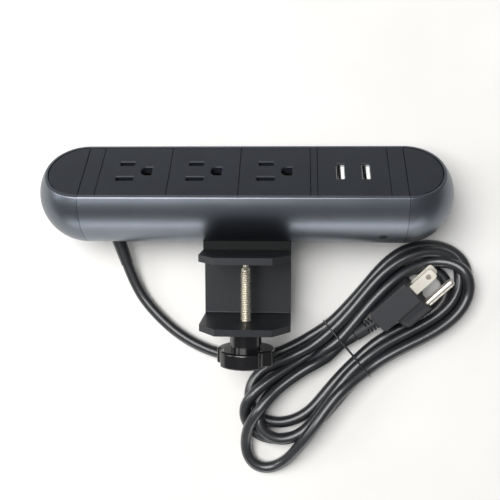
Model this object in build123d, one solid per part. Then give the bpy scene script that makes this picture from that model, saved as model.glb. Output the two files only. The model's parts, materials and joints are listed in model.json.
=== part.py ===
from build123d import *
from math import cos, sin, tan, radians, pi
import os

os.makedirs("parts", exist_ok=True)

# Desk power strip on a screw clamp, lying on its back. Millimetres.
# X runs along the strip, Y across the floor from the knob to the strip, Z up; the floor is Z = 0.

# ---- strip: a round bar with one flat face ----
BODY_R = 28.2          # radius of the round back
FACE_H = 17.6          # flat face above the bar's axis
BODY_HALF = 91.5       # straight part, half its length; round end caps go on from there
WALL = 2.0
FAR = 200.0            # beyond every surface, for tools that only cut
LIP_R = 1.2            # rounded edge beside the flat face
SLOT_HALF = 20.6       # half width of the recess that holds the face plates
PLATE_T = 2.6
PLATE_HALF = 20.4
PLATE_GAP = 0.1
PITCH = 40.0           # one module
RAIL_H = 2.0
RAIL_Y = (18.6, 24.4)
CAP_SPIGOT = 16.5
CAP_GAP = 0.2          # seam between the bar and an end cap
CAP_SCREWS = ((79.0, 107.0), (79.0, -107.0), (-79.0, -107.0))   # x, angle from the flat face
CAP_SCREW_R = 1.5
CAP_SCREW_HEAD = (2.3, 1.1)     # head radius and height
CROSS_RECESS = (2.6, 0.6, 0.9)
PLATE_BEVEL = 0.25
LEDGE_R = 18.4         # inner radius of the ledge under a half-round face plate

# ---- where things sit along the strip ----
OUTLET_X = (-62.0, -22.0, 18.0)
FILLERS = {"left": (-91.4, -82.0), "narrow": (38.0, 42.0), "right": (82.0, 91.4)}
USB_X = 62.0

# ---- outlet, three-pin 15 A pattern ----
BLADE_SPACING = 12.7
GROUND_OFFSET = 11.9
BLADES_X = -5.1        # blade slots from the module's middle
HOT_SLOT = (8.2, 3.0)
NEUTRAL_SLOT = (10.0, 3.0)
GROUND_HOLE = 6.6
GROUND_FLAT = 3.0       # flat side of the ground hole from its middle
SLOT_CHAMFER = 0.5
SOCKET_DEPTH = 15.0
OUTLET_BODY = (34.0, 32.0, 17.0)
CONTACT_TOP = FACE_H - 4.0
LEAF_Y = (0.95, 1.45)  # spring leaf, from the slot's middle
HOT_LEAF = 6.4
NEUTRAL_LEAF = 8.0
SLEEVE_R = (2.4, 2.85)

# ---- USB-A ports ----
USB_SPACING = 14.3
USB_OPEN = (4.9, 12.6)
USB_DEPTH = 14.0
USB_BODY = (30.0, 24.0, 17.0)
USB_SHEET = 0.3
USB_CONTACT_Y = (-3.5, -1.0, 1.0, 3.5)
PILOT_R = 0.8

# ---- conductors inside the strip ----
TRAY_START = -70.0
TRAY_END = 88.0
TRAY_Z = -11.0
WIRE_D = 2.4
BUS_Y = {"hot": 7.5, "neutral": -7.5, "ground": 0.0}
BUS_Z = -8.9

# ---- pose of the whole thing ----
CLAMP_TILT = 8.0       # clamp screw above the floor
FACE_ANGLE = 40.0      # flat face against the jaws
BAR_Y = 35.9           # bar axis; puts the object's box on X = Y = 0

# ---- clamp, measured from the bar's axis: y away from the jaws' mouth, z along the screw ----
CLAMP_X = 2.0
CLAMP_W = 50.8
PLATE = 3.8
BEND_OUTER = 2.5
BEND_INNER = 0.9
SPINE_FRONT = -1.3
JAW_FRONT = -44.6
TOP_JAW = -31.8        # upper face of the upper jaw
THROAT = 35.1
JAW_CHAMFER = (9.8, 12.4)
SADDLE_Y = (-9.5, 12.0)
MOUNT_X = 16.0
MOUNT_Y = -6.0
MOUNT_HOLE_R = 2.1
INSERT_R = 5.0
SCREW_Y = -21.3
SCREW_D = 6.2
THREAD_CLEARANCE = 0.05
SHOULDER = -41.9
TIP_CONE = 2.2
NECK_D = 3.0
PAD_R = 7.5
PAD_GAP = 0.3
RUBBER_T = 0.8
CUP_T = 1.3
HUB_R = 9.0
HUB_TOP = -75.6
STAR_TOP = -86.5
STAR_T = 9.2
LOBE_R = 16.6
LOBE_EDGE = 1.3
NOTCH_R = 6.3
NOTCH_AT = 20.2
NOTCH_ANGLES = (76.0, 196.0, 316.0)
BOTTOM_JAW = TOP_JAW - PLATE - THROAT      # upper face of the lower jaw
JAW_UNDER = BOTTOM_JAW - PLATE
STAR_BOTTOM = STAR_TOP - STAR_T
PAD_TOP = TOP_JAW - PLATE - PAD_GAP

# ---- cord ----
CORD_D = 6.8
HANK_H = 14.2          # two cords on each other
RELIEF_L = 20.0
RELIEF_D = (8.6, CORD_D)
EXIT = (-79.6, 13.1, 11.6)
EXIT_DIR = (0.31, -0.93, -0.21)
LEAD_REST = [
    (-68.3, -20.8, 3.75),
    (-56.5, -36.0, 3.45),
    (-40.5, -50.0, 3.45),
    (-21.5, -59.5, 3.45),
    (-2.0, -63.2, 3.45),
    (17.5, -60.6, 3.45),
]
TAIL = [
    (66.6, -47.2, 8.6),
    (62.9, -50.0, 7.2),
    (58.4, -52.6, 5.6),
]
HANK_OUTER = [
    (14, -62.5), (30, -50.6), (48, -40), (65, -20), (85, 1), (105, 8.8), (125, 6.5),
    (136, -10), (133, -30), (112, -49), (90, -60), (72, -73), (53, -96), (38, -112),
    (25, -127), (9, -132), (-2, -116), (-3, -98), (2, -75),
]
HANK_INNER = [
    (12, -94), (20, -99), (34, -95), (47, -81), (62, -61.5), (78, -52.2), (98, -44.8),
    (118, -33), (126.5, -18), (119, -5), (103, -5), (87, -16.5), (72, -33.2), (60.5, -50.6),
    (45, -65), (25, -76),
]
TIE_ENDS = ((47.3, -39.5), (75.0, -72.0))
TIE_W = 1.4
TIE_T = 0.7

# ---- plug ----
PLUG_AT = (99.4, -18.5, 18.8)
PLUG_YAW = 44.5
PLUG_PITCH = 16.0
PLUG_L = 28.5
PLUG_HALF_T = 11.3
PLUG_HALF_W = 7.0
PLUG_EDGE = 0.7
BULGE_R = 7.2          # rounded housing of the ground pin
BULGE_Y = -8.8
BULGE_L = 19.5
BULGE_FRONT = -0.3
BLADE = (16.0, 6.35, 1.5)
BLADE_TIP_R = 1.6
BLADE_HOLE = (4.2, 1.6)         # from the tip, radius
GROUND_D = 4.75
GROUND_L = 19.4
PIN_DOME = 1.9
SLEEVE_END_R = (4.5, 3.8)       # sleeve behind the plug, at the plug and at the cord
RIBS = 4
RIB_PITCH = 2.2
RIB_GAP = 1.2
RIB_CORE = 2.0
RIB_BRIDGE = 1.8


def frame(lean, x=0.0):
    """Plane on the bar's axis whose normal leans back from +Y by the given angle."""
    return Plane(
        origin=(x, BAR_Y, BODY_R),
        x_dir=(1, 0, 0),
        z_dir=(0, cos(radians(lean)), sin(radians(lean))),
    )


BAR = frame(CLAMP_TILT + FACE_ANGLE).location
CLAMP = frame(CLAMP_TILT, CLAMP_X).location

nodes = {}


def add(name, place, *solids):
    """Keep the solids of one node, moved from their own frame into the shared one."""
    shapes = []
    for solid in solids:
        for one in solid.solids():
            shapes.append(place * one)
    nodes[name] = shapes[0] if len(shapes) == 1 else Compound(children=shapes)
    nodes[name].label = name


def box(x, y, z):
    """Box between pairs of limits."""
    middle = [(a[0] + a[1]) / 2 for a in (x, y, z)]
    size = [abs(a[1] - a[0]) for a in (x, y, z)]
    return Pos(*middle) * Box(*size)


def rod(radius, bottom, top, x=0.0, y=0.0):
    """Upright cylinder between two heights."""
    return Pos(x, y, (bottom + top) / 2) * Cylinder(radius, top - bottom)


def along_x(radius, start, end):
    """Cylinder lying along X about the bar's axis."""
    return Pos((start + end) / 2, 0, 0) * Rot(0, 90, 0) * Cylinder(radius, end - start)


# ======================= strip =======================

FACE_CUT = box((-FAR, FAR), (-FAR, FAR), (FACE_H, FAR))


def extrusion():
    """Aluminium profile: round back, open slot under the flat face and two rails."""
    outer = along_x(BODY_R, -BODY_HALF, BODY_HALF) - FACE_CUT
    edges = outer.edges().filter_by(Axis.X).group_by(Axis.Z)[-1]
    outer = fillet(edges, LIP_R)
    inner = along_x(BODY_R - WALL, -BODY_HALF, BODY_HALF)
    inner -= box((-FAR, FAR), (-FAR, FAR), (FACE_H - WALL, FAR))
    slot = box((-FAR, FAR), (-SLOT_HALF, SLOT_HALF), (0, FAR))
    shell = outer - inner - slot
    rail_top = FACE_H - PLATE_T
    for side in (-1, 1):
        across = (side * RAIL_Y[0], side * RAIL_Y[1])
        rail = box((-BODY_HALF, BODY_HALF), across, (rail_top - RAIL_H, rail_top))
        shell += rail & along_x(BODY_R - WALL / 2, -BODY_HALF, BODY_HALF)
    for screw in CAP_SCREWS:
        shell -= screw_hole(*screw)
    shell -= cord_hole()
    for x in (-MOUNT_X, MOUNT_X):
        shell -= from_clamp(rod(MOUNT_HOLE_R, -FAR, -20, x, MOUNT_Y))
    return shell


def from_clamp(solid):
    """Bring a solid drawn in the clamp's frame into the bar's frame."""
    return BAR.inverse() * (CLAMP * solid)


def cord_hole():
    """Round hole for the cord's strain relief."""
    line = Plane(origin=EXIT, z_dir=EXIT_DIR).location
    return BAR.inverse() * (line * rod(RELIEF_D[0] / 2, -12.0, 6.0))


def round_the_bar(angle, x):
    """Frame on the bar's surface, its Z pointing outwards, at an angle from the face's normal."""
    a = radians(angle)
    out = (0, -sin(a), cos(a))
    return Plane(origin=(x, -BODY_R * sin(a), BODY_R * cos(a)), x_dir=(1, 0, 0), z_dir=out).location


def screw_hole(x, angle):
    """Clearance hole with a countersink."""
    head_r, head_h = CAP_SCREW_HEAD
    hole = rod(CAP_SCREW_R + 0.05, -6, 2) + Pos(0, 0, -0.7) * Cone(CAP_SCREW_R, head_r + 0.4, head_h + 0.3)
    return round_the_bar(angle, x) * hole


def cap_screw(x, angle):
    """Small countersunk screw with a cross recess."""
    head_r, head_h = CAP_SCREW_HEAD
    screw = rod(CAP_SCREW_R, -5.5, -1.1) + Pos(0, 0, -0.65) * Cone(CAP_SCREW_R, head_r, head_h)
    for turn in (0, 90):
        screw -= Pos(0, 0, -0.3) * Rot(0, 0, turn) * Box(*CROSS_RECESS)
    return round_the_bar(angle, x) * screw


def end_cap(side):
    """Moulded end: a quarter ball with the flat face's recess running round into it."""
    ball = Sphere(BODY_R)
    cap = ball & box((0, FAR), (-FAR, FAR), (-FAR, FACE_H))
    rim = cap.edges().filter_by(GeomType.CIRCLE).group_by(Axis.Z)[-1]
    cap = fillet(rim, LIP_R)
    cap -= Sphere(BODY_R - WALL) & box((-1, FAR), (-FAR, FAR), (-FAR, FACE_H - WALL))
    cap -= rod(SLOT_HALF, 0, FAR)
    ledge = rod(SLOT_HALF + 1.5, FACE_H - PLATE_T - 1.6, FACE_H - PLATE_T) - rod(LEDGE_R, 0, FAR)
    cap += ledge & box((0, FAR), (-FAR, FAR), (-FAR, FAR)) & Sphere(BODY_R - WALL / 2)
    spigot = along_x(BODY_R - WALL - 0.1, -CAP_SPIGOT, 5.0) - along_x(BODY_R - WALL - 1.7, -20, 9)
    spigot &= box((-20, 9), (-40, 40), (-40, 10.5))
    cap += spigot
    cap = Pos(BODY_HALF + CAP_GAP, 0, 0) * cap
    if side < 0:
        cap = mirror(cap, Plane.YZ) - cord_hole()
    for screw in CAP_SCREWS:
        if screw[0] * side > 0:
            cap -= screw_hole(*screw)
    return cap


def face_cap(side):
    """Half-round face plate at the end of the row."""
    disc = rod(PLATE_HALF - PLATE_GAP, FACE_H - PLATE_T, FACE_H)
    disc &= box((PLATE_GAP, FAR), (-FAR, FAR), (0, FAR))
    disc = chamfer(disc.faces().sort_by(Axis.Z)[-1].edges(), PLATE_BEVEL)
    clip = box((3, 13), (-1.0, 1.0), (FACE_H - PLATE_T - 6, FACE_H - PLATE_T + 0.5))
    for y in (-9, 9):
        disc += Pos(0, y, 0) * clip
    return disc if side > 0 else mirror(disc, Plane.YZ)


def filler(start, end):
    """Plain strip that fills the row between modules."""
    strip = box((start + PLATE_GAP, end - PLATE_GAP), (-PLATE_HALF, PLATE_HALF), (FACE_H - PLATE_T, FACE_H))
    strip = chamfer(strip.faces().sort_by(Axis.Z)[-1].edges(), PLATE_BEVEL)
    middle = (start + end) / 2
    leg = box((middle - 1.2, middle + 1.2), (-16, 16), (FACE_H - PLATE_T - 5, FACE_H - PLATE_T + 0.3))
    return strip + leg


def module_blank(size):
    """Face plate with the box of its works below."""
    half = PITCH / 2 - PLATE_GAP
    plate = box((-half, half), (-PLATE_HALF, PLATE_HALF), (FACE_H - PLATE_T, FACE_H))
    plate = chamfer(plate.faces().sort_by(Axis.Z)[-1].edges(), PLATE_BEVEL)
    top = FACE_H - PLATE_T
    body = box((-size[0] / 2, size[0] / 2), (-size[1] / 2, size[1] / 2), (top - size[2], top + 0.2))
    return plate + body


def opening(x, y, size, depth):
    """Rectangular hole in the face with a bevelled mouth."""
    half_x, half_y = size[0] / 2, size[1] / 2
    hole = box((x - half_x, x + half_x), (y - half_y, y + half_y), (FACE_H - depth, FACE_H + 1))
    wide = Pos(x, y, FACE_H) * Rectangle(size[0] + 2 * SLOT_CHAMFER, size[1] + 2 * SLOT_CHAMFER)
    deep = Pos(x, y, FACE_H - SLOT_CHAMFER) * Rectangle(*size)
    return hole + loft([deep, wide])


def ground_opening(x):
    """D-shaped hole for the ground pin, its round side towards the blades."""
    radius = GROUND_HOLE / 2
    mouth = Circle(radius) & (Pos(-radius, 0) * Rectangle(2 * radius, 2 * radius))
    mouth += Pos(GROUND_FLAT / 2, 0) * Rectangle(GROUND_FLAT, 2 * radius)
    hole = extrude(mouth, SOCKET_DEPTH + 1)
    wide = offset(mouth, SLOT_CHAMFER, kind=Kind.INTERSECTION)
    bevel = extrude(wide, -SLOT_CHAMFER, taper=45)
    return Pos(x, 0, FACE_H - SOCKET_DEPTH) * hole + Pos(x, 0, FACE_H) * bevel


def outlet():
    """One three-pin outlet: the hot slot is the short one."""
    module = module_blank(OUTLET_BODY)
    module -= opening(BLADES_X, BLADE_SPACING / 2, HOT_SLOT, SOCKET_DEPTH)
    module -= opening(BLADES_X, -BLADE_SPACING / 2, NEUTRAL_SLOT, SOCKET_DEPTH)
    module -= ground_opening(BLADES_X + GROUND_OFFSET)
    return module


def blade_contact(x, y, width):
    """Pair of spring leaves in a blade slot."""
    bottom = FACE_H - SOCKET_DEPTH
    near, far = LEAF_Y
    across = (x - width / 2, x + width / 2)
    contact = box(across, (y - far, y + far), (bottom, bottom + 0.8))
    for side in (-1, 1):
        contact += box(across, (y + side * near, y + side * far), (bottom, CONTACT_TOP))
    return contact


def ground_contact(x):
    """Split sleeve that grips the ground pin."""
    bottom = FACE_H - SOCKET_DEPTH
    inner, outer = SLEEVE_R
    sleeve = rod(outer, bottom, CONTACT_TOP, x, 0) - rod(inner, bottom + 0.8, FACE_H, x, 0)
    return sleeve - box((x - 5, x + 5), (-0.4, 0.4), (bottom + 2, FACE_H))


def usb_module():
    """Charging module with two upright ports and a pilot light."""
    module = module_blank(USB_BODY)
    for x in (-USB_SPACING / 2, USB_SPACING / 2):
        module -= opening(x, 0, USB_OPEN, USB_DEPTH)
    module -= rod(PILOT_R + 0.05, FACE_H - 6, FACE_H + 1)
    return module


def usb_shell(x):
    """Sheet metal sleeve inside a port."""
    half_w, half_h = USB_OPEN[0] / 2 - 0.05, USB_OPEN[1] / 2 - 0.05
    top = FACE_H - 0.8
    bottom = FACE_H - USB_DEPTH + 0.1
    sleeve = box((x - half_w, x + half_w), (-half_h, half_h), (bottom, top))
    half_w -= USB_SHEET
    half_h -= USB_SHEET
    return sleeve - box((x - half_w, x + half_w), (-half_h, half_h), (bottom + USB_SHEET, top + 1))


def usb_tongue(x):
    """Plastic tongue that carries the port's contacts."""
    return box((x + 0.25, x + 2.05), (-5.6, 5.6), (FACE_H - USB_DEPTH + 0.45, FACE_H - 1.6))


def usb_contacts(x):
    """Four contact strips on the tongue."""
    strips = []
    for y in USB_CONTACT_Y:
        strips.append(box((x + 0.1, x + 0.24), (y - 0.5, y + 0.5), (FACE_H - 12, FACE_H - 2.4)))
    return strips


def chassis():
    """Moulded tray along the bottom of the bar that carries the conductors."""
    tray = box((TRAY_START, TRAY_END), (-12, 12), (TRAY_Z, TRAY_Z + 2.0))
    for x in range(-60, 81, 20):
        for y in (-10.5, 10.5):
            tray += box((x - 1, x + 1), (y - 1.5, y + 1.5), (-19.5, -10.5))
    for y in (-11.2, 11.2):
        tray += box((TRAY_START, TRAY_END), (y - 0.8, y + 0.8), (TRAY_Z + 1.5, TRAY_Z + 5.5))
    return tray


def busbar(name):
    """Brass strip along the tray with a riser under each outlet."""
    y = BUS_Y[name]
    bar = box((TRAY_START - 3, 40), (y - 2.0, y + 2.0), (BUS_Z, BUS_Z + 1.0))
    top = FACE_H - PLATE_T - OUTLET_BODY[2] - 0.05
    for x in OUTLET_X:
        bar += box((x - 2, x + 2), (y - 0.5, y + 0.5), (BUS_Z + 0.5, top))
    return bar


def wire(y, start_x):
    """Insulated conductor from the strain relief up to the end of a busbar."""
    end = (TRAY_START - 4.8, y, BUS_Z + 0.5)
    route = [(start_x, -4.0, -22.5), (start_x, y, end[2] - 5.0), end]
    pieces = []
    for a, b in zip(route, route[1:]):
        run = Vector(*b) - Vector(*a)
        line = Plane(origin=a, z_dir=run).location
        pieces.append(line * rod(WIRE_D / 2, 0, run.length))
    joint = Pos(*route[1]) * Sphere(WIRE_D / 2)
    return pieces[0] + joint + pieces[1]


def round_bar():
    """Everything on the strip."""
    add("body_shell", BAR, extrusion())
    for name, side in (("left", -1), ("right", 1)):
        add("end_cap_" + name, BAR, end_cap(side))
        add("face_cap_" + name, BAR, Pos(side * BODY_HALF, 0, 0) * face_cap(side))
    for name, (start, end) in FILLERS.items():
        add("filler_strip_" + name, BAR, filler(start, end))
    for number, x in enumerate(OUTLET_X, 1):
        add(f"outlet_module_{number}", BAR, Pos(x, 0, 0) * outlet())
    hot, neutral, ground = [], [], []
    for x in OUTLET_X:
        hot.append(blade_contact(x + BLADES_X, BLADE_SPACING / 2, HOT_LEAF))
        neutral.append(blade_contact(x + BLADES_X, -BLADE_SPACING / 2, NEUTRAL_LEAF))
        ground.append(ground_contact(x + BLADES_X + GROUND_OFFSET))
    add("contacts_hot", BAR, *hot)
    add("contacts_neutral", BAR, *neutral)
    add("contacts_ground", BAR, *ground)
    for name in BUS_Y:
        add("busbar_" + name, BAR, busbar(name))
    add("usb_module", BAR, Pos(USB_X, 0, 0) * usb_module())
    ports = (USB_X - USB_SPACING / 2, USB_X + USB_SPACING / 2)
    add("usb_port_shells", BAR, *[usb_shell(x) for x in ports])
    add("usb_tongues", BAR, *[usb_tongue(x) for x in ports])
    add("usb_contacts", BAR, *[strip for x in ports for strip in usb_contacts(x)])
    add("pilot_light", BAR, rod(PILOT_R, FACE_H - 5.9, FACE_H - 0.1, USB_X))
    board_z = FACE_H - PLATE_T - USB_BODY[2]
    add("charger_board", BAR, box((44, 80), (-15, 15), (board_z - 1.7, board_z - 0.1)))
    add("chassis_tray", BAR, chassis())
    starts = {"hot": -77.6, "neutral": -83.2, "ground": -80.4}
    add("inner_wires", BAR, *[wire(BUS_Y[name], x) for name, x in starts.items()])
    add("cap_screws", BAR, *[cap_screw(*screw) for screw in CAP_SCREWS])


# ======================= clamp =======================

def jaw(top):
    """Jaw plate with its two front corners cut off."""
    half = CLAMP_W / 2
    cut_x, cut_y = JAW_CHAMFER
    outline = Polyline(
        (-half, SPINE_FRONT),
        (-half, JAW_FRONT + cut_y),
        (-half + cut_x, JAW_FRONT),
        (half - cut_x, JAW_FRONT),
        (half, JAW_FRONT + cut_y),
        (half, SPINE_FRONT),
        close=True,
    )
    plate = extrude(Pos(0, 0, top - PLATE) * make_face(outline), PLATE)
    return plate


def clamp_bracket():
    """C-shaped bracket of thick plate: two jaws on one spine."""
    half = CLAMP_W / 2
    bracket = box((-half, half), (SPINE_FRONT, SPINE_FRONT + PLATE), (JAW_UNDER, TOP_JAW))
    bracket += jaw(TOP_JAW)
    bracket += jaw(BOTTOM_JAW)
    outer = bracket.edges().filter_by(Axis.X).group_by(Axis.Y)[-1]
    bracket = fillet(outer, BEND_OUTER)
    bends = bracket.edges().filter_by(Axis.X).filter_by_position(Axis.Y, SPINE_FRONT - 0.1, SPINE_FRONT + 0.1)
    bracket = fillet(bends.filter_by_position(Axis.Z, BOTTOM_JAW - 0.1, TOP_JAW - PLATE + 0.1), BEND_INNER)
    bracket -= rod(INSERT_R + THREAD_CLEARANCE, JAW_UNDER - 1, BOTTOM_JAW + 1, 0, SCREW_Y)
    for x in (-MOUNT_X, MOUNT_X):
        bracket -= mount_hole(x)
    return bracket


def mount_hole(x):
    """Countersunk clearance hole through the upper jaw."""
    under = TOP_JAW - PLATE
    hole = rod(MOUNT_HOLE_R, under - 1, TOP_JAW + 1, x, MOUNT_Y)
    return hole + Pos(x, MOUNT_Y, under + 1.1) * Cone(4.1, 2.0, 2.2)


def saddle():
    """Block between the upper jaw and the round back of the strip."""
    half = CLAMP_W / 2
    block = box((-half, half), SADDLE_Y, (TOP_JAW + 0.02, -20))
    block -= along_x(BODY_R + 0.05, -FAR, FAR)
    for x in (-MOUNT_X, MOUNT_X):
        block -= rod(MOUNT_HOLE_R, -FAR, 0, x, MOUNT_Y)
    return block


def mounting_screw(x):
    """Countersunk screw that holds the clamp on the strip."""
    under = TOP_JAW - PLATE
    screw = rod(2.0, under + 1.9, -18.5, x, MOUNT_Y)
    screw += Pos(x, MOUNT_Y, under + 1.25) * Cone(3.6, 2.0, 1.9)
    screw -= Pos(x, MOUNT_Y, under + 0.6) * extrude(RegularPolygon(1.25, 6), 1.6)
    return screw


def mounting_nut(x):
    """Hex nut on the inside of the strip's back."""
    nut = Pos(x, MOUNT_Y, -23.6) * extrude(RegularPolygon(4.04, 6), 3.2)
    return nut - rod(2.05, -30, -10, x, MOUNT_Y)


def threaded_insert():
    """Flanged threaded bush pressed into the lower jaw."""
    bush = rod(INSERT_R, JAW_UNDER, BOTTOM_JAW, 0, SCREW_Y)
    bush -= rod(SCREW_D / 2 + THREAD_CLEARANCE, JAW_UNDER - 1, BOTTOM_JAW + 1, 0, SCREW_Y)
    return bush


def clamp_screw():
    """Clamping screw: a rod of the thread's outer diameter, a cone and a turned neck."""
    tip = SHOULDER + TIP_CONE
    screw = rod(SCREW_D / 2, STAR_BOTTOM + 1.5, SHOULDER)
    screw += Pos(0, 0, (SHOULDER + tip) / 2) * Cone(SCREW_D / 2, NECK_D / 2, tip - SHOULDER)
    neck_top = PAD_TOP - RUBBER_T - 0.3
    screw += rod(NECK_D / 2, tip - 0.1, neck_top)
    return Pos(0, SCREW_Y, 0) * screw


def knob():
    """Three-lobed knob with a tall hub."""
    star = rod(LOBE_R, STAR_BOTTOM, STAR_TOP)
    for angle in NOTCH_ANGLES:
        a = radians(angle)
        star -= rod(NOTCH_R, STAR_BOTTOM - 1, STAR_TOP + 1, NOTCH_AT * cos(a), NOTCH_AT * sin(a))
    star = fillet(star.edges().filter_by(Axis.Z), 1.6)
    star = fillet(star.faces().filter_by(Axis.Z).edges(), LOBE_EDGE)
    star += rod(HUB_R, STAR_TOP - 0.5, HUB_TOP)
    star -= rod(SCREW_D / 2, STAR_BOTTOM + 1.5, HUB_TOP + 1)
    return Pos(0, SCREW_Y, 0) * star


def pad_cup():
    """Swivel disc riveted on the screw's neck."""
    top = PAD_TOP - RUBBER_T
    cup = rod(PAD_R, top - CUP_T, top)
    cup = chamfer(cup.edges().group_by(Axis.Z)[0], 0.4)
    return Pos(0, SCREW_Y, 0) * (cup - rod(NECK_D / 2 + 0.05, top - CUP_T - 1, top + 1))


def pad_rubber():
    """Soft face of the swivel disc."""
    return Pos(0, SCREW_Y, 0) * rod(PAD_R - 0.4, PAD_TOP - RUBBER_T, PAD_TOP)


def clamp():
    """Everything that holds the strip to a desk."""
    add("clamp_bracket", CLAMP, clamp_bracket())
    add("clamp_saddle", CLAMP, saddle())
    add("mounting_screws", CLAMP, *[mounting_screw(x) for x in (-MOUNT_X, MOUNT_X)])
    add("mounting_nuts", CLAMP, *[mounting_nut(x) for x in (-MOUNT_X, MOUNT_X)])
    add("threaded_insert", CLAMP, threaded_insert())
    add("clamp_screw", CLAMP, clamp_screw())
    add("clamp_knob", CLAMP, knob())
    add("pad_cup", CLAMP, pad_cup())
    add("pad_rubber", CLAMP, pad_rubber())


# ======================= cord and plug =======================

def tube(points, diameter):
    """Cord along straight runs joined by tangent arcs as large as the runs allow."""
    radii = []
    for before, here, after in zip(points, points[1:], points[2:]):
        one = Vector(*here) - Vector(*before)
        two = Vector(*after) - Vector(*here)
        turn = radians(one.get_angle(two))
        radii.append(0.45 * min(one.length, two.length) / tan(turn / 2))
    path = FilletPolyline(*points, radius=radii if len(radii) > 1 else radii[0])
    section = Plane(origin=path @ 0, z_dir=path % 0) * Circle(diameter / 2)
    solid = sweep(section, path)
    print("cord run", round(path.length, 1), "volume", round(solid.volume / (section.area * path.length), 4))
    return solid


def closed_outline(points):
    """Smooth closed outline through the points."""
    return make_face(Spline(*points, periodic=True))


def hank():
    """Outer shape of the folded cord: a long ring, two cords high."""
    return extrude(closed_outline(HANK_OUTER), HANK_H) - extrude(closed_outline(HANK_INNER), HANK_H)


def strain_relief():
    """Tapered sleeve where the cord leaves the strip."""
    line = Plane(origin=EXIT, z_dir=EXIT_DIR).location
    start, end = RELIEF_D
    sleeve = Pos(0, 0, RELIEF_L / 2) * Cone(start / 2, end / 2 + 0.3, RELIEF_L)
    sleeve += rod(start / 2, -3.0, 0.1)
    return line * sleeve


def plug_place():
    """Frame of the plug: X out along the blades, Y away from the ground pin, Z across the blades."""
    yaw, pitch = radians(PLUG_YAW), radians(PLUG_PITCH)
    ahead = (cos(pitch) * cos(yaw), cos(pitch) * sin(yaw), sin(pitch))
    up = (-sin(pitch) * cos(yaw), -sin(pitch) * sin(yaw), cos(pitch))
    return Plane(origin=PLUG_AT, x_dir=ahead, z_dir=up).location


def plug_body():
    """Moulded body: a slab over the blades and a round-ended bulge over the ground pin."""
    slab = box((-PLUG_L, 0), (-PLUG_HALF_W, PLUG_HALF_W), (-PLUG_HALF_T, PLUG_HALF_T))
    slab = chamfer(slab.edges().filter_by(Axis.Z).group_by(Axis.X)[0], 1.5)
    slab = fillet(slab.faces().sort_by(Axis.Z)[-1].edges(), PLUG_EDGE)
    bulge = Pos(BULGE_FRONT - BULGE_L / 2, BULGE_Y, 0) * Rot(0, 90, 0) * Cylinder(BULGE_R, BULGE_L)
    bulge = fillet(bulge.edges().group_by(Axis.X)[0], BULGE_R / 2)
    bulge = fillet(bulge.edges().group_by(Axis.X)[-1], PLUG_EDGE)
    return slab + bulge


def plug_blade(z):
    """Flat blade with a rounded tip and its hole."""
    length, width, thick = BLADE
    blade = Pos(length / 2 - 1.0, 0, z) * Box(length + 2.0, width, thick)
    blade = fillet(blade.edges().filter_by(Axis.Z).group_by(Axis.X)[-1], BLADE_TIP_R)
    from_tip, radius = BLADE_HOLE
    return blade - Pos(length - from_tip, 0, z) * Cylinder(radius, 4)


def ground_pin():
    """Round ground pin with a domed end."""
    pin = Pos(GROUND_L / 2 - 1.0, -GROUND_OFFSET, 0) * Rot(0, 90, 0) * Cylinder(GROUND_D / 2, GROUND_L + 2.0)
    return fillet(pin.edges().group_by(Axis.X)[-1], PIN_DOME)


def plug_relief(start, end):
    """Tapered sleeve behind the plug, cut into ribs that a bridge on each side holds together."""
    length = (end - start).length
    line = Plane(origin=start, x_dir=(0, 0, 1), z_dir=(end - start).normalized()).location
    sleeve = Pos(0, 0, length / 2) * Cone(*SLEEVE_END_R, length)
    for i in range(RIBS):
        middle = RIB_PITCH * (i + 0.7)
        ring = rod(FAR, middle - RIB_GAP / 2, middle + RIB_GAP / 2)
        ring -= rod(RIB_CORE, middle - RIB_GAP, middle + RIB_GAP)
        ring -= box((-FAR, FAR), (-RIB_BRIDGE / 2, RIB_BRIDGE / 2), (0, length))
        sleeve -= ring
    return line * sleeve


def tie():
    """Thin band round the whole hank."""
    start, end = Vector(*TIE_ENDS[0], 0), Vector(*TIE_ENDS[1], 0)
    across = end - start
    place = Plane(origin=(start + end) * 0.5, x_dir=across.normalized(), z_dir=(0, 0, 1)).location
    half = across.length / 2 + TIE_T
    outer = box((-half - TIE_T, half + TIE_T), (-TIE_W / 2, TIE_W / 2), (0.05, HANK_H + TIE_T))
    return place * (outer - box((-half, half), (-TIE_W, TIE_W), (0.05 + TIE_T / 2, HANK_H)))


def cord():
    """The mains cord with everything on it."""
    add("cord_strain_relief", Location(), strain_relief())
    relief_end = Vector(*EXIT) + Vector(*EXIT_DIR).normalized() * RELIEF_L
    add("cord_lead", Location(), tube([tuple(relief_end), *LEAD_REST], CORD_D))
    add("cord_hank", Location(), hank())
    add("cord_tail", Location(), tube(TAIL, CORD_D))
    place = plug_place()
    add("plug_body", place, plug_body())
    blade_z = BLADE_SPACING / 2
    add("plug_blades", place, plug_blade(-blade_z), plug_blade(blade_z))
    add("plug_ground_pin", place, ground_pin())
    rear = (place * Pos(-PLUG_L, 0, 0)).position
    add("plug_strain_relief", Location(), plug_relief(rear, Vector(*TAIL[0])))
    add("cord_tie", Location(), tie())


round_bar()
clamp()
cord()

for name, shape in nodes.items():
    export_step(shape, f"parts/{name}.step")
    bounds = shape.bounding_box()
    print(name, [round(v, 2) for v in (*bounds.min, *bounds.max)], round(shape.volume))
firm = [shape for name, shape in nodes.items() if not name.startswith(("cord_", "plug_"))]
whole = Compound(children=firm).bounding_box()
print("object box", whole.min, whole.max)
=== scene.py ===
import bpy
import json
from math import cos, pi, radians, sin
from mathutils import Matrix, Vector


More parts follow.
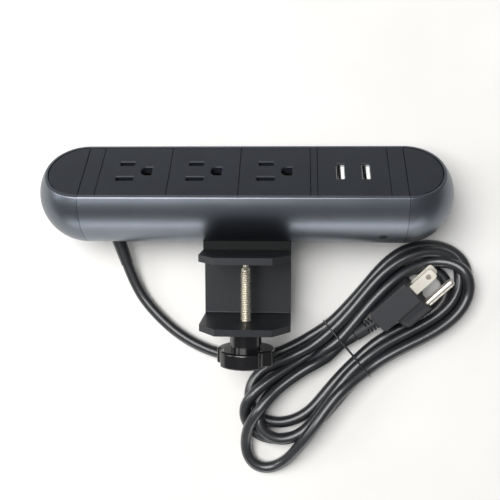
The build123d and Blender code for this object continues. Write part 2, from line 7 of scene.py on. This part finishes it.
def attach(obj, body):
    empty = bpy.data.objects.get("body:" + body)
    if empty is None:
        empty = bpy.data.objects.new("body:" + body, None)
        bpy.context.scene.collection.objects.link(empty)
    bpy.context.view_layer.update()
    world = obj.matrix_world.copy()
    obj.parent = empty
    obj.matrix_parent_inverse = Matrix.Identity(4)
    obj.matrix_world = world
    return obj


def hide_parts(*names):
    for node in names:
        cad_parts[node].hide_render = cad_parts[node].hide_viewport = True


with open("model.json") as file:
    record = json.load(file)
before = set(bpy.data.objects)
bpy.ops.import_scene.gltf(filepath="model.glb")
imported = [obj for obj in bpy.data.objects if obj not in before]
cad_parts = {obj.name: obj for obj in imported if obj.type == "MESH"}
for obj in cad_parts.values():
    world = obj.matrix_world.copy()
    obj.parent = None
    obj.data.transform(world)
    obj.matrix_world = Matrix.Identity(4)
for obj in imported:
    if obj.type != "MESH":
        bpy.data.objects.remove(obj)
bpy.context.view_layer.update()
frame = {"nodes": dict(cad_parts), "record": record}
MM = 0.001

# ---------------------------------------------------------------- dimensions, in millimetres
CORD_D = 6.8
CAMERA_AT = (29.17, -2.26, 461.27)
CAMERA_RIGHT = (0.99821547, 0.00715098, -0.05928515)
CAMERA_UP = (-0.00640985, 0.99989904, 0.01268183)
LENS = 53.6

BAR_Y, BAR_Z = 35.9, 28.2   # the strip's axis
CLAMP_X = 2.0
CLAMP_TILT = 8.0
SCREW_Y = -21.3             # the screw's axis in the clamp's frame
THREAD_R = (2.35, 3.15)      # root and crest
THREAD_PITCH = 1.27
THREAD_Z = (-77.0, -41.9)
THREAD_SIDES = 32
STEPS_PER_TURN = 8
NECK = ((2.75, -41.2), (2.2, -40.3), (1.5, -39.7), (1.5, -37.0))     # radius, height
TIE_ENDS = ((47.3, -39.5), (75.0, -72.0))
TIE_R = 0.5
RIM_POINTS = 24             # round each strand that the tie crosses
FLOOR_HALF = 2.5            # metres
LAMPS_AIM = (0.02, -0.02, 0.02)      # metres

# The cord's route: out of the strip, under the knob, four turns of the hank, and back to the plug.
LEAD = [
    (-73.4, -5.45, 7.4), (-68.3, -20.8, 3.75), (-56.5, -36.0, 3.45), (-40.5, -50.0, 3.45),
    (-21.5, -59.5, 3.45), (-2.0, -63.2, 3.45), (17.5, -60.6, 3.45),
]
TURN_1 = [
    (31.5, -54.0, 3.5), (41.5, -48.0, 3.5), (50.0, -42.4, 3.5), (57.5, -35.3, 3.5), (65.5, -26.6, 3.5),
    (73.0, -17.8, 3.5), (80.0, -9.2, 3.5), (87.3, -1.8, 3.5), (96.0, 4.0, 3.5), (106.0, 6.9, 3.5),
    (116.5, 6.6, 3.5), (125.2, 3.3, 3.5), (131.2, -2.6, 3.5), (133.8, -9.8, 3.5), (133.6, -17.3, 3.5),
    (131.4, -25.0, 3.5), (127.0, -32.6, 3.5), (120.6, -39.4, 3.5), (112.5, -45.3, 3.5),
    (103.0, -50.9, 3.5), (93.0, -56.0, 3.5), (83.8, -61.3, 3.5), (76.5, -66.3, 3.5),
    (69.8, -71.8, 3.5), (62.5, -79.5, 3.5), (55.5, -88.5, 3.5), (48.0, -97.3, 3.5),
    (39.5, -104.9, 3.5), (30.5, -110.4, 3.5), (21.0, -112.4, 3.5), (11.5, -111.4, 3.5),
    (4.2, -107.0, 3.6), (0.0, -100.5, 4.5), (-0.6, -93.5, 7.0), (2.0, -87.3, 9.8),
    (7.0, -81.6, 10.4), (14.0, -76.0, 9.6), (23.0, -70.4, 7.6), (33.0, -64.6, 5.2),
    (42.0, -58.2, 3.8), (49.0, -52.2, 3.5),
]
TURN_2 = [
    (54.8, -47.2, 3.5), (61.9, -40.4, 3.5), (70.0, -31.9, 3.5), (77.3, -23.4, 3.5), (84.5, -16.0, 3.5),
    (92.0, -10.6, 3.5), (100.0, -7.9, 3.5), (108.5, -7.3, 3.5), (116.0, -9.2, 3.5),
    (120.8, -13.8, 3.5), (121.8, -20.3, 3.5), (119.3, -27.1, 3.5), (114.0, -32.9, 3.5),
    (107.0, -37.3, 3.5), (99.5, -41.0, 3.5), (92.0, -44.6, 3.5), (85.2, -48.6, 3.5),
    (78.5, -53.2, 3.5), (72.3, -58.4, 3.5), (66.6, -64.0, 3.5), (60.8, -69.6, 3.5),
    (54.7, -76.3, 3.5), (48.7, -83.6, 3.5), (43.6, -89.9, 3.5), (38.2, -95.4, 3.5),
    (31.0, -99.8, 3.5), (22.5, -102.2, 3.5), (14.2, -101.6, 3.5), (7.8, -98.9, 3.5),
    (3.7, -94.2, 3.5), (2.2, -88.2, 3.5), (2.6, -81.9, 3.5), (4.9, -76.1, 3.5), (9.3, -71.1, 3.7),
    (15.8, -67.1, 5.2), (24.0, -62.9, 7.8), (33.0, -58.6, 9.2), (42.5, -53.2, 9.5),
]
TURN_3 = [
    (51.8, -45.2, 9.5), (59.6, -37.2, 9.8), (67.0, -28.4, 10.0), (74.2, -19.5, 10.1),
    (81.3, -11.6, 10.1), (89.0, -5.0, 10.0), (98.0, 0.2, 9.9), (107.5, 3.0, 9.6),
    (116.5, 2.9, 9.2), (123.7, -0.2, 8.4), (127.6, -5.7, 7.4), (128.6, -12.4, 7.2),
    (127.9, -19.3, 7.2), (125.0, -26.0, 7.2), (120.4, -31.8, 7.2), (114.2, -36.8, 7.2),
    (106.6, -41.4, 7.3), (98.4, -45.8, 7.5), (90.0, -50.2, 7.9), (82.0, -54.9, 8.6),
    (74.8, -60.0, 9.5), (68.2, -65.4, 10.0), (62.2, -71.3, 10.0), (56.5, -78.4, 9.8),
    (51.0, -86.0, 9.6), (45.4, -94.0, 9.8), (39.4, -102.2, 10.1), (31.8, -108.5, 10.3),
    (22.2, -111.3, 10.3), (13.6, -108.8, 10.4), (9.2, -103.4, 10.5), (8.4, -97.6, 10.2),
    (10.0, -91.6, 7.8), (14.0, -85.6, 5.0), (20.0, -79.8, 3.6), (27.5, -74.4, 3.5),
    (34.5, -69.2, 3.7), (40.5, -63.8, 5.0), (46.2, -58.6, 7.4), (51.6, -54.4, 9.0),
]
TURN_4 = [
    (56.8, -50.3, 9.5), (63.2, -42.8, 9.8), (70.0, -34.4, 10.0), (77.2, -26.0, 10.1),
    (85.0, -18.0, 9.8), (93.2, -11.2, 9.0), (101.4, -6.4, 8.0), (109.6, -3.6, 7.6),
    (117.6, -2.8, 8.8), (125.2, -4.6, 11.6), (130.8, -9.2, 13.4), (133.2, -15.8, 12.4),
    (132.9, -22.8, 10.8), (129.8, -30.0, 10.3), (124.4, -36.6, 10.3), (117.2, -42.4, 10.3),
    (108.8, -47.6, 10.3), (99.6, -52.3, 10.3), (90.6, -57.0, 10.3), (82.2, -62.0, 10.3),
    (75.2, -66.9, 10.5), (68.6, -71.6, 12.0), (62.0, -76.8, 14.2), (55.6, -82.6, 15.8),
    (49.6, -90.0, 16.4), (43.8, -98.4, 16.4), (37.8, -107.2, 15.2), (32.0, -115.6, 11.6),
    (26.4, -123.0, 7.4), (19.4, -128.4, 4.2), (11.6, -130.3, 3.5), (4.6, -127.4, 3.5),
    (0.9, -120.8, 4.2), (0.3, -112.8, 6.6), (1.9, -104.6, 10.2), (5.2, -97.6, 13.2),
    (9.6, -91.4, 14.6), (14.6, -85.6, 13.0), (20.6, -79.9, 11.0), (28.0, -74.2, 10.3),
    (36.2, -68.6, 10.2), (43.6, -64.6, 9.6), (50.2, -60.9, 7.4),
]
TAIL = [(58.4, -52.6, 5.6), (62.9, -50.0, 7.2), (66.6, -47.2, 8.6)]


def at(point):
    """A point in millimetres as one in metres."""
    return Vector(point) * MM


def link(obj):
    bpy.context.collection.objects.link(obj)
    return obj


def place(tilt, x):
    """Frame on the strip's axis, its Z tilted that many degrees up from the floor's +Y."""
    lean = radians(tilt)
    across = Vector((0, sin(lean), -cos(lean)))
    out = Vector((0, cos(lean), sin(lean)))
    return Matrix((
        (1, across.x, out.x, x * MM),
        (0, across.y, out.y, BAR_Y * MM),
        (0, across.z, out.z, BAR_Z * MM),
        (0, 0, 0, 1),
    ))


# ---------------------------------------------------------------- materials

class Nodes:
    """A new material and short calls that add its nodes."""

    def __init__(self, name):
        self.material = bpy.data.materials.new(name)
        self.material.use_nodes = True
        self.tree = self.material.node_tree
        self.shader = self.tree.nodes["Principled BSDF"]

    def add(self, kind, **settings):
        node = self.tree.nodes.new(kind)
        for key, value in settings.items():
            if key in node.inputs:
                node.inputs[key].default_value = value
            else:
                setattr(node, key, value)
        return node

    def join(self, source, target):
        self.tree.links.new(source, target)

    def noise(self, scale, stretch=(1, 1, 1), detail=3.0):
        where = self.add("ShaderNodeTexCoord")
        sized = self.add("ShaderNodeMapping", Scale=stretch)
        noise = self.add("ShaderNodeTexNoise", Scale=scale, Detail=detail)
        self.join(where.outputs["Object"], sized.inputs["Vector"])
        self.join(sized.outputs["Vector"], noise.inputs["Vector"])
        return noise.outputs["Fac"]

    def ramp(self, source, low, high, start=0.3, end=0.7):
        ramp = self.add("ShaderNodeValToRGB")
        ramp.color_ramp.elements[0].position = start
        ramp.color_ramp.elements[0].color = (*low, 1)
        ramp.color_ramp.elements[1].position = end
        ramp.color_ramp.elements[1].color = (*high, 1)
        self.join(source, ramp.inputs["Fac"])
        return ramp.outputs["Color"]

    def spread(self, source, low, high):
        spread = self.add("ShaderNodeMapRange")
        spread.inputs["To Min"].default_value = low
        spread.inputs["To Max"].default_value = high
        self.join(source, spread.inputs["Value"])
        return spread.outputs["Result"]

    def bump(self, height, depth, strength=1.0):
        bump = self.add("ShaderNodeBump", Strength=strength, Distance=depth)
        self.join(height, bump.inputs["Height"])
        self.join(bump.outputs["Normal"], self.shader.inputs["Normal"])


CLOUD_SCALE = 60           # broad, faint patches in every finish's colour
COAT_ROUGHNESS = 0.08


def finish(
    name, color, vary, rough, metal, grain, stretch=(1, 1, 1), depth=0.00002, coat=0.0, specular=0.5,
):
    """Base colour that clouds slightly, roughness that varies, and a fine grain as bump."""
    made = Nodes(name)
    shader = made.shader
    shader.inputs["Metallic"].default_value = metal
    shader.inputs["Specular IOR Level"].default_value = specular
    shader.inputs["Coat Weight"].default_value = coat
    shader.inputs["Coat Roughness"].default_value = COAT_ROUGHNESS
    cloudy = made.noise(CLOUD_SCALE)
    dark = tuple(c * (1 - vary) for c in color)
    light = tuple(min(1, c * (1 + vary)) for c in color)
    made.join(made.ramp(cloudy, dark, light), shader.inputs["Base Color"])
    fine = made.noise(grain, stretch)
    made.join(made.spread(fine, *rough), shader.inputs["Roughness"])
    made.bump(fine, depth)
    return made.material


def glass(name):
    """Smoked lens, dark while it isn't lit."""
    made = Nodes(name)
    made.shader.inputs["Transmission Weight"].default_value = 0.2
    smoke = made.ramp(made.noise(400), (0.02, 0.024, 0.03), (0.035, 0.04, 0.05))
    made.join(smoke, made.shader.inputs["Base Color"])
    made.join(made.spread(made.noise(900), 0.1, 0.25), made.shader.inputs["Roughness"])
    return made.material


def cord_finish():
    """Black PVC with a soft sheen, faint extrusion ripple and a little dust."""
    made = Nodes("cord_pvc")
    made.shader.inputs["Specular IOR Level"].default_value = 0.6
    dusty = made.noise(240, detail=4.0)
    black = made.ramp(dusty, (0.009, 0.010, 0.0125), (0.016, 0.0175, 0.021))
    made.join(black, made.shader.inputs["Base Color"])
    made.join(made.spread(made.noise(500), 0.36, 0.46), made.shader.inputs["Roughness"])
    made.shader.inputs["Coat Weight"].default_value = 0.6
    made.shader.inputs["Coat Roughness"].default_value = 0.14
    made.bump(made.noise(700, detail=2.0), 0.00003, 0.6)
    return made.material


STREAKS = (0.02, 1, 1)     # a grain drawn out along the strip
MATERIALS = {
    "anodised_body": finish(
        "anodised_body", (0.190, 0.208, 0.237), 0.05, (0.35, 0.41), 1.0, 1600, STREAKS, 0.000006,
    ),
    "end_metal": finish("end_metal", (0.160, 0.177, 0.203), 0.05, (0.34, 0.40), 1.0, 2200, depth=0.000006),
    "face_plastic": finish(
        "face_plastic", (0.014, 0.017, 0.024), 0.10, (0.42, 0.52), 0.0, 2600, specular=0.35,
    ),
    "inner_plastic": finish(
        "inner_plastic", (0.004, 0.0045, 0.005), 0.2, (0.55, 0.7), 0.0, 1500, specular=0.2,
    ),
    # contact_brass: the brass colour is painted shade, darkened far below real brass so the contacts deep in
    # the socket holes read as black recesses
    "contact_brass": finish("contact_brass", (0.08, 0.06, 0.035), 0.15, (0.3, 0.45), 1.0, 900, depth=0.00001),
    "wire_pvc": finish("wire_pvc", (0.05, 0.05, 0.05), 0.3, (0.35, 0.45), 0.0, 800),
    "usb_steel": finish("usb_steel", (0.55, 0.56, 0.58), 0.08, (0.22, 0.34), 1.0, 1500, depth=0.000005),
    "usb_white": finish("usb_white", (0.93, 0.93, 0.92), 0.04, (0.3, 0.4), 0.0, 1200, depth=0.000005),
    "light_pipe": glass("light_pipe"),
    "board_green": finish("board_green", (0.02, 0.13, 0.05), 0.2, (0.3, 0.4), 0.0, 700, coat=0.5),
    "screw_black": finish("screw_black", (0.10, 0.10, 0.105), 0.2, (0.3, 0.42), 0.9, 1800, depth=0.00001),
    "clamp_black": finish(
        "clamp_black", (0.0085, 0.0098, 0.013), 0.15, (0.40, 0.50), 0.0, 1700, specular=0.4,
    ),
    "zinc_screw": finish("zinc_screw", (0.78, 0.74, 0.65), 0.04, (0.40, 0.46), 1.0, 500, depth=0.000002),
    "knob_black": finish(
        "knob_black", (0.006, 0.006, 0.007), 0.10, (0.16, 0.24), 0.0, 1200, depth=0.000008, coat=0.3,
    ),
    "pad_black": finish("pad_black", (0.012, 0.012, 0.012), 0.2, (0.65, 0.8), 0.0, 1200, depth=0.00004),
    "cord_pvc": cord_finish(),
    "plug_pvc": finish("plug_pvc", (0.019, 0.020, 0.024), 0.08, (0.5, 0.6), 0.0, 1600, depth=0.00004),
    "plug_nickel": finish("plug_nickel", (0.80, 0.76, 0.68), 0.05, (0.34, 0.4), 1.0, 700, depth=0.000003),
}


def dress(obj, slot):
    obj.data.materials.clear()
    obj.data.materials.append(MATERIALS[slot])


def dress_cad():
    """Every CAD node that stays gets the finish of its slot."""
    for part in frame["record"]["subparts"]:
        obj = frame["nodes"].get(part["node"])
        if obj is not None:
            obj.data.materials.clear()
            obj.data.materials.append(MATERIALS[part["material_slot"]])


# ---------------------------------------------------------------- clamp screw

def clamp_screw():
    """Screw with a real thread, one helical ridge from the knob to the swivel pad's neck."""
    low, high = THREAD_Z
    root, crest = THREAD_R
    rows = round((high - low) / THREAD_PITCH * STEPS_PER_TURN)
    rings = []
    for row in range(rows + 1):
        z = low + (high - low) * row / rows
        fade = min(1.0, (high - z) / THREAD_PITCH)
        ring = []
        for side in range(THREAD_SIDES):
            phase = (z / THREAD_PITCH - side / THREAD_SIDES) % 1.0
            ridge = 1 - abs(2 * phase - 1)
            ring.append((root + (crest - root) * ridge * fade, z))
        rings.append(ring)
    rings += [[point] * THREAD_SIDES for point in NECK]
    verts, faces = [], []
    for ring in rings:
        for side, (radius, z) in enumerate(ring):
            angle = 2 * pi * side / THREAD_SIDES
            verts.append(at((radius * cos(angle), SCREW_Y + radius * sin(angle), z)))
    for row in range(len(rings) - 1):
        for side in range(THREAD_SIDES):
            a = row * THREAD_SIDES + side
            b = row * THREAD_SIDES + (side + 1) % THREAD_SIDES
            faces.append((a, b, b + THREAD_SIDES, a + THREAD_SIDES))
    faces.append(tuple(range(THREAD_SIDES - 1, -1, -1)))
    faces.append(tuple(range(len(verts) - THREAD_SIDES, len(verts))))
    mesh = bpy.data.meshes.new("threaded_screw")
    mesh.from_pydata(verts, [], faces)
    mesh.transform(place(CLAMP_TILT, CLAMP_X))
    obj = link(bpy.data.objects.new("threaded_screw", mesh))
    dress(obj, "zinc_screw")
    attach(obj, "screw")
    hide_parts("clamp_screw")


# ---------------------------------------------------------------- cord

def cord():
    """The mains cord as one spline from the strip to the plug."""
    points = LEAD + TURN_1 + TURN_2 + TURN_3 + TURN_4 + TAIL
    curve = bpy.data.curves.new("mains_cord", "CURVE")
    curve.dimensions = "3D"
    curve.bevel_depth = CORD_D / 2 * MM
    curve.bevel_resolution = 7
    curve.resolution_u = 10
    curve.use_fill_caps = True
    spline = curve.splines.new("NURBS")
    spline.points.add(len(points) - 1)
    for control, point in zip(spline.points, points):
        control.co = (*at(point), 1)
    spline.order_u = 3
    spline.use_endpoint_u = True
    obj = link(bpy.data.objects.new("mains_cord", curve))
    dress(obj, "cord_pvc")
    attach(obj, "strip")
    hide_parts("cord_lead", "cord_hank", "cord_tail")
    return obj


def hull(points):
    """Convex outline of flat points, counter-clockwise."""
    ordered = sorted(set(points))
    outline = []
    for run in (ordered, ordered[::-1]):
        chain = []
        for point in run:
            while len(chain) > 1:
                (ax, ay), (bx, by) = chain[-2], chain[-1]
                if (bx - ax) * (point[1] - ay) - (by - ay) * (point[0] - ax) > 0:
                    break
                chain.pop()
            chain.append(point)
        outline += chain[:-1]
    return outline


def tie():
    """Thin wire tie pulled tight round every strand it crosses."""
    start, end = Vector((*TIE_ENDS[0], 0)), Vector((*TIE_ENDS[1], 0))
    along = (end - start).normalized()
    across = Vector((-along.y, along.x, 0))
    points = [Vector(point) for point in TURN_1 + TURN_2 + TURN_3 + TURN_4 + TAIL]
    reach = CORD_D / 2 + TIE_R
    rims = []
    for one, two in zip(points, points[1:]):
        before, after = (one - start).dot(across), (two - start).dot(across)
        if before * after < 0:
            crossing = one.lerp(two, before / (before - after))
            where = (crossing - start).dot(along)
            if -CORD_D < where < (end - start).length + CORD_D:
                for step in range(RIM_POINTS):
                    angle = 2 * pi * step / RIM_POINTS
                    height = max(TIE_R, crossing.z + reach * sin(angle))
                    rims.append((round(where + reach * cos(angle), 4), round(height, 4)))
    curve = bpy.data.curves.new("wire_tie", "CURVE")
    curve.dimensions = "3D"
    curve.bevel_depth = TIE_R * MM
    curve.bevel_resolution = 3
    outline = hull(rims)
    spline = curve.splines.new("POLY")
    spline.points.add(len(outline) - 1)
    for control, (where, height) in zip(spline.points, outline):
        control.co = (*at(start + along * where + Vector((0, 0, height))), 1)
    spline.use_cyclic_u = True
    obj = link(bpy.data.objects.new("wire_tie", curve))
    dress(obj, "cord_pvc")
    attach(obj, "strip")
    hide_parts("cord_tie")


# ---------------------------------------------------------------- stage

def floor():
    """Plain pale table."""
    mesh = bpy.data.meshes.new("table")
    corners = [(x * FLOOR_HALF, y * FLOOR_HALF, 0) for x, y in ((-1, -1), (1, -1), (1, 1), (-1, 1))]
    mesh.from_pydata(corners, [], [(0, 1, 2, 3)])
    obj = link(bpy.data.objects.new("table", mesh))
    made = Nodes("table_cloth")
    weave = made.noise(900, detail=2.0)
    pale = made.ramp(made.noise(12), (0.83, 0.82, 0.79), (0.88, 0.87, 0.85))
    made.join(pale, made.shader.inputs["Base Color"])
    made.join(made.spread(weave, 0.75, 0.9), made.shader.inputs["Roughness"])
    made.bump(weave, 0.0001, 0.3)
    mesh.materials.append(made.material)


def lamp(name, where, width, height, power):
    """Soft lamp that looks at the object."""
    light = bpy.data.lights.new(name, "AREA")
    light.shape = "RECTANGLE"
    light.size = width
    light.size_y = height
    light.energy = power
    obj = link(bpy.data.objects.new(name, light))
    obj.location = where
    toward = Vector(LAMPS_AIM) - Vector(where)
    obj.rotation_euler = toward.to_track_quat("-Z", "Y").to_euler()


def studio():
    world = bpy.data.worlds.new("studio")
    world.use_nodes = True
    sky = world.node_tree.nodes["Background"]
    sky.inputs["Color"].default_value = (0.97, 0.98, 1.0, 1)
    sky.inputs["Strength"].default_value = 0.20
    bpy.context.scene.world = world
    bpy.context.scene.view_settings.view_transform = "Standard"
    lamp("top", (-0.42, 0.24, 1.35), 1.0, 1.0, 23.0)
    lamp("window", (-0.95, 0.10, 0.55), 0.35, 0.35, 2.5)
    lamp("front", (0.0, -1.30, 0.20), 2.2, 0.22, 7.0)


def camera():
    data = bpy.data.cameras.new("camera")
    data.sensor_width = 36
    data.lens = LENS
    obj = link(bpy.data.objects.new("camera", data))
    right, up = Vector(CAMERA_RIGHT), Vector(CAMERA_UP)
    back = right.cross(up)
    turn = Matrix((right, up, back)).transposed()
    obj.matrix_world = Matrix.Translation(at(CAMERA_AT)) @ turn.to_4x4()
    bpy.context.scene.camera = obj


dress_cad()
clamp_screw()
cord_line = cord()
tie()
floor()
studio()
camera()
